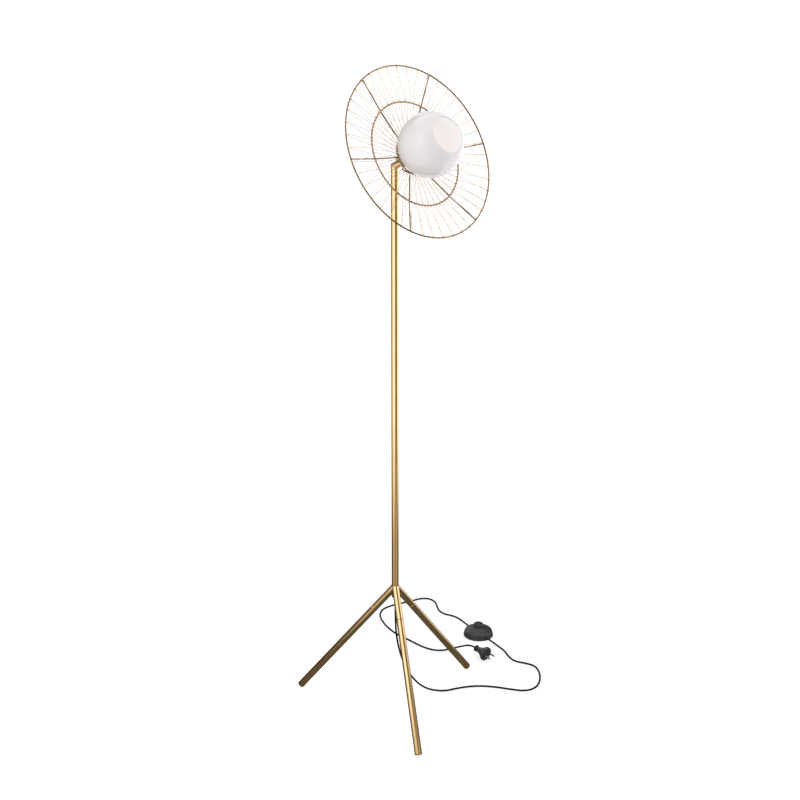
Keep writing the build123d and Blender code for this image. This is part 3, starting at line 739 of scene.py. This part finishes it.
# ---------------------------------------------------------------- brazed joints
@dataclass
class Braze:
    """Fine beads of braze where the three leg stubs meet the pole, and each other below it."""

    tube: float = 9.0 * MM
    legs: int = 3
    tilt: float = 39.0
    foot_reach: float = 260.0 * MM
    cap_edge: float = 0.8 * MM
    bead: float = 0.5 * MM
    steps: int = 16

    @property
    def meet_z(self) -> float:
        """Height at which the axes of the legs and the pole meet."""
        tilt = math.radians(self.tilt)
        foot = (self.tube - self.cap_edge) * math.sin(tilt) + self.cap_edge * (1 - math.cos(tilt))
        return foot + self.foot_reach / math.tan(tilt)

    def saddle(self, rise: float) -> list[Vector]:
        """Points of one seam between the pole and the stub along +X.

        Args:
            rise: Height of the seam per unit of X: two tubes of one size meet on a plane.

        Returns:
            The points, from the plane half way to one neighbour to the other.
        """
        half = math.pi / self.legs
        points = []
        for k in range(self.steps + 1):
            turn = -half + 2 * half * k / self.steps
            x, y = self.tube * math.cos(turn), self.tube * math.sin(turn)
            points.append(Vector((x, y, self.meet_z + rise * x)))
        return points

    def build(self, finishes: Finishes) -> bpy.types.Object:
        """Lay the beads round the pole.

        Args:
            finishes: The lamp's finishes.

        Returns:
            The finished beads.
        """
        half_tilt = math.radians(self.tilt) / 2
        seams = self.saddle(math.tan(half_tilt)), self.saddle(-1 / math.tan(half_tilt))
        guide = bpy.data.meshes.new("seams")
        edges = [(k, k + 1) for k in range(self.steps)]
        edges += [(a + self.steps + 1, b + self.steps + 1) for a, b in edges]
        guide.from_pydata([*seams[0], *seams[1]], edges, [])

        shape = ShapeTree("braze_beads")
        count = shape.input("Legs", "Int", 1)
        apart = shape.input("Angle apart", "Vector", (0.0, 0.0, 0.0))
        thick = shape.input("Bead radius", "Float", MM)
        material = shape.input("Bead finish", "Material", None)
        line = shape.add("GeometryNodeMeshToCurve", {"Mesh": shape.start.outputs["Geometry"]})
        bead = shape.tube(line.outputs[0], thick)
        index = shape.add("GeometryNodeInputIndex")
        scaled = {0: apart, "Scale": index.outputs[0]}
        angle = shape.add("ShaderNodeVectorMath", scaled, operation="SCALE")
        shape.finish(shape.turned_copies(count, bead, angle.outputs[0]), material)
        made = shape.run(
            "braze_beads",
            guide,
            {
                "Legs": self.legs,
                "Angle apart": (0.0, 0.0, math.tau / self.legs),
                "Bead radius": self.bead,
                # The beads take the rods' darkened brass, whose dark colour is painted shade
                "Bead finish": finishes.made["brass_rod"],
            },
        )
        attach(made, LAMP)
        return made


# ---------------------------------------------------------------- return spring
@dataclass
class ReturnSpring:
    """Coil under the foot switch's button, which on the real switch shortens as the button goes down;
    here it is wound at one length.
    """

    radius: float = 5.8 * MM
    wire: float = 0.45 * MM
    turns: float = 4.0
    facets: int = 24

    def build(self, finishes: Finishes) -> bpy.types.Object:
        """Wind the spring in the place of its CAD solid.

        Args:
            finishes: The lamp's finishes.

        Returns:
            The finished spring.
        """
        corners = [v.co for v in frame["nodes"]["switch_spring"].data.vertices]
        low, high = min(c.z for c in corners) + self.wire, max(c.z for c in corners) - self.wire
        x = (min(c.x for c in corners) + max(c.x for c in corners)) / 2
        y = (min(c.y for c in corners) + max(c.y for c in corners)) / 2
        guide = bpy.data.meshes.new("spring_foot")
        guide.from_pydata([(x, y, low)], [], [])

        shape = ShapeTree("return_spring")
        turns = shape.input("Turns", "Float", 1.0)
        radius = shape.input("Coil radius", "Float", MM)
        height = shape.input("Height", "Float", MM)
        wire = shape.input("Wire radius", "Float", MM)
        material = shape.input("Spring finish", "Material", None)
        coil = shape.add(
            "GeometryNodeCurveSpiral",
            {
                "Resolution": self.facets,
                "Rotations": turns,
                "Start Radius": radius,
                "End Radius": radius,
                "Height": height,
            },
        )
        wound = shape.tube(coil.outputs[0], wire)
        links = {"Points": shape.start.outputs["Geometry"], "Instance": wound}
        placed = shape.add("GeometryNodeInstanceOnPoints", links)
        shape.finish(placed.outputs[0], material)
        made = shape.run(
            "return_spring",
            guide,
            {
                "Turns": self.turns,
                "Coil radius": self.radius,
                "Height": high - low,
                "Wire radius": self.wire,
                "Spring finish": finishes.made["steel"],
            },
        )
        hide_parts("switch_spring")
        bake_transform(made)
        return made


# ---------------------------------------------------------------- flex
@dataclass
class Flex:
    """The flex from the pole to the switch and from the switch to the plug."""

    radius: float = 2.5 * MM
    bevel_steps: int = 5
    steps: int = 10
    # The route's sizes, in millimetres and degrees
    lies: float = 2.5
    exit_z: float = 283.212
    switch_at: tuple[float, float] = (419.5, 113.5)
    switch_azimuth: float = 80.0
    switch_level: float = 7.0
    switch_reach: float = 45.5
    switch_lead: float = 20.0
    plug_face: tuple[float, float] = (329.0, -7.2)
    plug_azimuth: float = -85.0
    plug_tilt: float = 8.0
    plug_rest: float = 18.354
    plug_tail: float = 41.0
    plug_lead: float = 18.0

    def switch_end(self, side: int, beyond: float = 0.0) -> Vector:
        """Point on the switch's flex line.

        Args:
            side: -1 for the lamp's side, 1 for the plug's side.
            beyond: Distance past the end of the strain relief, in millimetres.

        Returns:
            The point, in millimetres.
        """
        turn = math.radians(self.switch_azimuth)
        middle = Vector((*self.switch_at, self.switch_level))
        along = Vector((math.cos(turn), math.sin(turn), 0.0))
        return middle + along * side * (self.switch_reach + beyond)

    def plug_end(self, beyond: float = 0.0) -> Vector:
        """Point on the plug's axis, behind its relief, in millimetres."""
        turn = math.radians(self.plug_azimuth)
        dip = math.radians(self.plug_tilt)
        axis = Vector((math.cos(turn) * math.cos(dip), math.sin(turn) * math.cos(dip), -math.sin(dip)))
        return Vector((*self.plug_face, self.plug_rest)) - axis * (self.plug_tail + beyond)

    def lamp_to_switch(self) -> list[Point]:
        """Route from the pole to the switch, in millimetres."""
        low = self.lies
        return [
            (0, 0, self.exit_z),
            (0, 0, 236),
            (3, -1, 180),
            (16, -6, 120),
            (38, -15, 66),
            (74, -29, 22),
            (122, -48, low),
            (166, -63, low),
            (208, -86, low),
            (240, -123, low),
            (262, -162, low),
            (284, -193, low),
            (318, -199, low),
            (354, -180, low),
            (386, -148, low),
            (401, -117, low),
            (391, -89, low),
            (378, -64, low),
            (386, -34, low),
            (402, -4, low),
            (408, 26, low),
            tuple(self.switch_end(-1, self.switch_lead)),
            tuple(self.switch_end(-1)),
        ]

    def switch_to_plug(self) -> list[Point]:
        """Route from the switch to the plug, in millimetres."""
        low = self.lies
        return [
            tuple(self.switch_end(1)),
            tuple(self.switch_end(1, self.switch_lead)),
            (444, 208, low),
            (446, 238, low),
            (433, 266, low),
            (438, 296, low),
            (457, 321, low),
            (471, 345, low),
            (471, 371, low),
            (451, 388, low),
            (424, 392, low),
            (388, 403, low),
            (352, 412, low),
            (318, 410, low),
            (288, 386, low),
            (267, 347, low),
            (253, 304, low),
            (247, 262, low),
            (250, 220, low),
            (249, 176, low),
            (255, 138, low),
            (273, 112, low),
            (295, 96, 7.5),
            (313, 74, 17),
            tuple(self.plug_end(self.plug_lead)),
            tuple(self.plug_end()),
        ]

    def spline(self, name: str, points: Iterable[Point]) -> bpy.types.Object:
        """Lay one stretch of flex along its route.

        Args:
            name: The object's name.
            points: Control points, in millimetres.

        Returns:
            The curve object.
        """
        curve = bpy.data.curves.new(name, "CURVE")
        curve.dimensions = "3D"
        curve.bevel_depth = self.radius
        curve.bevel_resolution = self.bevel_steps
        curve.resolution_u = self.steps
        curve.use_fill_caps = True
        line = curve.splines.new("NURBS")
        route = list(points)
        line.points.add(len(route) - 1)
        for control, point in zip(line.points, route):
            control.co = (*(c * MM for c in point), 1.0)
        line.order_u = 3
        line.use_endpoint_u = True
        flex = bpy.data.objects.new(name, curve)
        bpy.context.scene.collection.objects.link(flex)
        return flex

    def build(self, finishes: Finishes, spring: bpy.types.Object) -> list[bpy.types.Object]:
        """Args:
            finishes: The lamp's finishes.
            spring: The foot switch's return spring, which stands for its CAD solid. Not used.

        Returns:
            The two stretches of flex.
        """
        first = self.spline("flex_to_switch", self.lamp_to_switch())
        second = self.spline("flex_to_plug", self.switch_to_plug())
        for flex, node in ((first, "cord_to_switch"), (second, "cord_to_plug")):
            finishes.dress(flex, "black_flex")
            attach(flex, LAMP)
            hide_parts(node)
        return [first, second]


# ---------------------------------------------------------------- studio
@dataclass(frozen=True)
class SoftLight:
    """A tall soft light, aimed at the middle of the lamp."""

    name: str
    place: Point
    size: tuple[float, float]
    power: float
    aim: Point = (0.0, 0.0, 0.9)

    def build(self) -> None:
        """Hang the light."""
        data = bpy.data.lights.new(self.name, "AREA")
        data.shape = "RECTANGLE"
        data.size, data.size_y = self.size
        data.energy = self.power
        light = bpy.data.objects.new(self.name, data)
        light.location = self.place
        towards = Vector(self.aim) - Vector(self.place)
        light.rotation_euler = towards.to_track_quat("-Z", "Y").to_euler()
        bpy.context.scene.collection.objects.link(light)


@dataclass
class Studio:
    """Camera at the photograph's angle, pale floor, soft lights and a reflecting surround."""

    camera_at: Point = (-2.04405, -2.25427, 1.7818)
    camera_along: Point = (0.64278, 0.70340, -0.30343)
    lens: float = 60.29
    sensor: float = 36.0
    sight: float = 400.0
    lights: tuple[SoftLight, ...] = (
        SoftLight("key", (-2.6, -0.4, 2.2), (0.6, 1.8), 10.0),
        SoftLight("fill", (1.8, -2.6, 1.6), (0.5, 1.8), 4.0),
    )
    floor_half: float = 150.0
    floor_color: Point = (0.9, 0.9, 0.9)
    floor_glow: float = 0.5
    sky: float = 1.12
    zenith: float = 0.52
    backdrop: float = 1.1
    surround_r: float = 0.62
    surround_foot: float = 1.0 * MM
    surround_top: float = 2.2
    surround_sides: int = 96
    underfoot: float = 0.13
    underfoot_tint: Point = (1.0, 0.96, 0.85)
    overhead: float = 2.0
    low_to_high: tuple[float, float] = (0.17, 0.56)
    # Brightness round the surround, by angle from the camera towards the picture's right
    low_bands: Bands = (
        (-180.0, 0.90),
        (-167.0, 0.90),
        (-157.0, 0.08),
        (-110.0, 0.08),
        (-85.0, 0.12),
        (-66.0, 0.48),
        (-50.0, 0.80),
        (-35.0, 0.66),
        (-17.0, 0.41),
        (14.0, 0.40),
        (32.0, 0.56),
        (46.0, 0.66),
        (58.0, 0.50),
        (75.0, 0.14),
        (106.0, 0.08),
        (115.0, 1.15),
        (128.0, 1.15),
        (138.0, 0.08),
        (157.0, 0.08),
        (167.0, 0.90),
        (180.0, 0.90),
    )
    high_bands: Bands = (
        (-180.0, 1.2),
        (-167.0, 1.2),
        (-157.0, 0.10),
        (-125.0, 0.10),
        (-105.0, 0.40),
        (-88.0, 1.05),
        (-60.0, 1.35),
        (-32.0, 2.1),
        (-14.0, 1.6),
        (8.0, 0.55),
        (28.0, 0.26),
        (52.0, 0.20),
        (66.0, 0.70),
        (80.0, 1.8),
        (105.0, 1.9),
        (150.0, 1.6),
        (167.0, 1.2),
        (180.0, 1.2),
    )
    # Tint of what is reflected, by its brightness: warm where it is dim
    tints: tuple[tuple[float, Point], ...] = (
        (0.0, (1.0, 0.74, 0.42)),
        (0.25, (1.0, 0.82, 0.60)),
        (0.6, (1.0, 0.93, 0.88)),
        (1.3, (0.91, 0.93, 1.0)),
    )

    def camera(self) -> None:
        """Place the camera."""
        data = bpy.data.cameras.new("camera")
        data.lens = self.lens
        data.sensor_width = self.sensor
        data.clip_end = self.sight
        camera = bpy.data.objects.new("camera", data)
        camera.location = self.camera_at
        camera.rotation_euler = Vector(self.camera_along).to_track_quat("-Z", "Y").to_euler()
        bpy.context.scene.collection.objects.link(camera)
        bpy.context.scene.camera = camera

    def stand(self, name: str, mesh: bpy.types.Mesh) -> bpy.types.Object:
        """Put up one piece of the studio, which is no part of the lamp."""
        piece = bpy.data.objects.new(name, mesh)
        bpy.context.scene.collection.objects.link(piece)
        log.info("put up %s", name)
        return piece

    def floor(self) -> None:
        """Lay the pale floor, which runs out past the picture's edges."""
        half = self.floor_half
        mesh = bpy.data.meshes.new("floor")
        corners = [(-half, -half, 0), (half, -half, 0), (half, half, 0), (-half, half, 0)]
        mesh.from_pydata(corners, [], [(0, 1, 2, 3)])
        shader = ShaderTree("pale_floor")
        shader.fix(
            Base_Color=(*self.floor_color, 1.0),
            Roughness=0.7,
            Specular_IOR_Level=0.0,
            Emission_Color=(*WHITE, 1.0),
            Emission_Strength=self.floor_glow,
        )
        mesh.materials.append(shader.material)
        self.stand("floor", mesh).visible_diffuse = False

    def surround(self) -> None:
        """Put up the closed drum that shows in reflections alone: dark below, bright overhead."""
        mesh = bpy.data.meshes.new("surround")
        points, faces = [], []
        sides = self.surround_sides
        for k in range(sides):
            turn = math.tau * k / sides
            x, y = self.surround_r * math.cos(turn), self.surround_r * math.sin(turn)
            points += [(x, y, self.surround_foot), (x, y, self.surround_top)]
            after = (k + 1) % sides
            faces.append((2 * k, 2 * after, 2 * after + 1, 2 * k + 1))
        faces.append(tuple(range(0, 2 * sides, 2)))
        faces.append(tuple(range(1, 2 * sides, 2)))
        mesh.from_pydata(points, [], faces)
        for part in (None, (self.underfoot, self.underfoot_tint), (self.overhead, WHITE)):
            mesh.materials.append(self.reflected(part))
        mesh.polygons[sides].material_index = 1
        mesh.polygons[sides + 1].material_index = 2
        drum = self.stand("surround", mesh)
        drum.visible_camera = False
        drum.visible_diffuse = False
        drum.visible_transmission = False
        drum.visible_shadow = False

    def reflected(self, part: tuple[float, Point] | None) -> bpy.types.Material:
        """Make what one part of the drum shows in reflections.

        Args:
            part: Its brightness and tint, or None for the bands of the wall.

        Returns:
            The material.
        """
        shader = ShaderTree("reflected")
        shader.fix(Base_Color=(0.0, 0.0, 0.0, 1.0), Specular_IOR_Level=0.0)
        if part is None:
            self.banded(shader)
        else:
            bright, tint = part
            shader.fix(Emission_Strength=bright, Emission_Color=(*tint, 1.0))
        return shader.material

    def banded(self, shader: ShaderTree) -> None:
        """Give the wall its brightness by angle and height, and its tint.

        Args:
            shader: The wall's material tree.
        """
        turned = shader.add("ShaderNodeMapping")
        towards_camera = math.atan2(self.camera_at[1], self.camera_at[0])
        turned.inputs["Rotation"].default_value = (0.0, 0.0, -towards_camera)
        shader.join(shader.place.outputs["Object"], turned.inputs["Vector"])
        round_angle = shader.add("ShaderNodeTexGradient", gradient_type="RADIAL")
        shader.join(turned.outputs["Vector"], round_angle.inputs["Vector"])
        peak = max(level for _, level in self.low_bands + self.high_bands)
        parts = shader.add("ShaderNodeSeparateXYZ")
        shader.join(shader.place.outputs["Object"], parts.inputs[0])
        height = shader.add("ShaderNodeMapRange")
        low, high = self.low_to_high
        height.inputs["From Min"].default_value = low
        height.inputs["From Max"].default_value = high
        shader.join(parts.outputs["Z"], height.inputs["Value"])
        mixed = shader.add("ShaderNodeMix", data_type="FLOAT")
        shader.join(height.outputs["Result"], mixed.inputs["Factor"])
        for bands, side in ((self.low_bands, "A"), (self.high_bands, "B")):
            curve = shader.add("ShaderNodeFloatCurve")
            line = curve.mapping.curves[0]
            while len(line.points) < len(bands):
                line.points.new(0.5, 0.5)
            for point, (angle, level) in zip(line.points, bands):
                point.location = (0.5 + angle / FULL_TURN, level / peak)
            curve.mapping.update()
            shader.join(round_angle.outputs["Fac"], curve.inputs["Value"])
            shader.join(curve.outputs["Value"], mixed.inputs[side])
        shine = shader.add("ShaderNodeMath", operation="MULTIPLY")
        shine.inputs[1].default_value = peak
        shader.join(mixed.outputs["Result"], shine.inputs[0])
        shader.drive("Emission Strength", shine.outputs["Value"])
        ramp = shader.add("ShaderNodeValToRGB")
        stops = ramp.color_ramp.elements
        while len(stops) < len(self.tints):
            stops.new(1.0)
        for stop, (bright, tint) in zip(stops, self.tints):
            stop.position, stop.color = bright / peak, (*tint, 1.0)
        shader.join(mixed.outputs["Result"], ramp.inputs["Fac"])
        shader.drive("Emission Color", ramp.outputs["Color"])

    def world(self) -> None:
        """Soft light that is strongest level with the lamp, and plain white behind it."""
        world = bpy.data.worlds.new("studio")
        bpy.context.scene.world = world
        world.use_nodes = True
        tree = world.node_tree
        back = tree.nodes["Background"]
        back.inputs["Color"].default_value = (*WHITE, 1.0)
        place = tree.nodes.new("ShaderNodeTexCoord")
        parts = tree.nodes.new("ShaderNodeSeparateXYZ")
        tree.links.new(place.outputs["Generated"], parts.inputs[0])
        height = tree.nodes.new("ShaderNodeMath")
        height.operation = "ABSOLUTE"
        tree.links.new(parts.outputs["Z"], height.inputs[0])
        shade = tree.nodes.new("ShaderNodeMapRange")
        shade.inputs["To Min"].default_value = self.sky
        shade.inputs["To Max"].default_value = self.zenith
        tree.links.new(height.outputs["Value"], shade.inputs["Value"])
        seen = tree.nodes.new("ShaderNodeLightPath")
        strength = tree.nodes.new("ShaderNodeMix")
        strength.data_type = "FLOAT"
        tree.links.new(seen.outputs["Is Camera Ray"], strength.inputs["Factor"])
        tree.links.new(shade.outputs["Result"], strength.inputs["A"])
        strength.inputs["B"].default_value = self.backdrop
        tree.links.new(strength.outputs["Result"], back.inputs["Strength"])

    def build(self) -> None:
        """Set up the whole studio."""
        self.floor()
        self.surround()
        self.world()
        for light in self.lights:
            light.build()
        bpy.context.scene.view_settings.view_transform = "Standard"


def main() -> None:
    """Build the looks piece by piece."""
    logging.basicConfig(level=logging.INFO, format="%(name)s: %(message)s")
    studio = Studio()
    studio.camera()
    finishes = Finishes()
    finishes.dress_nodes()
    spring = ReturnSpring().build(finishes)
    log.info("wound %s with %d faces", spring.name, len(spring.data.polygons))
    for flex in Flex().build(finishes, spring):
        log.info("laid %s", flex.name)
    head = HeadFrame()
    laced = Reflector().build(head, finishes)
    log.info("laced %s with %d faces", laced.name, len(laced.data.polygons))
    beads = Braze().build(finishes)
    log.info("brazed %s with %d faces", beads.name, len(beads.data.polygons))
    studio.build()


if __name__ == "__main__":
    main()
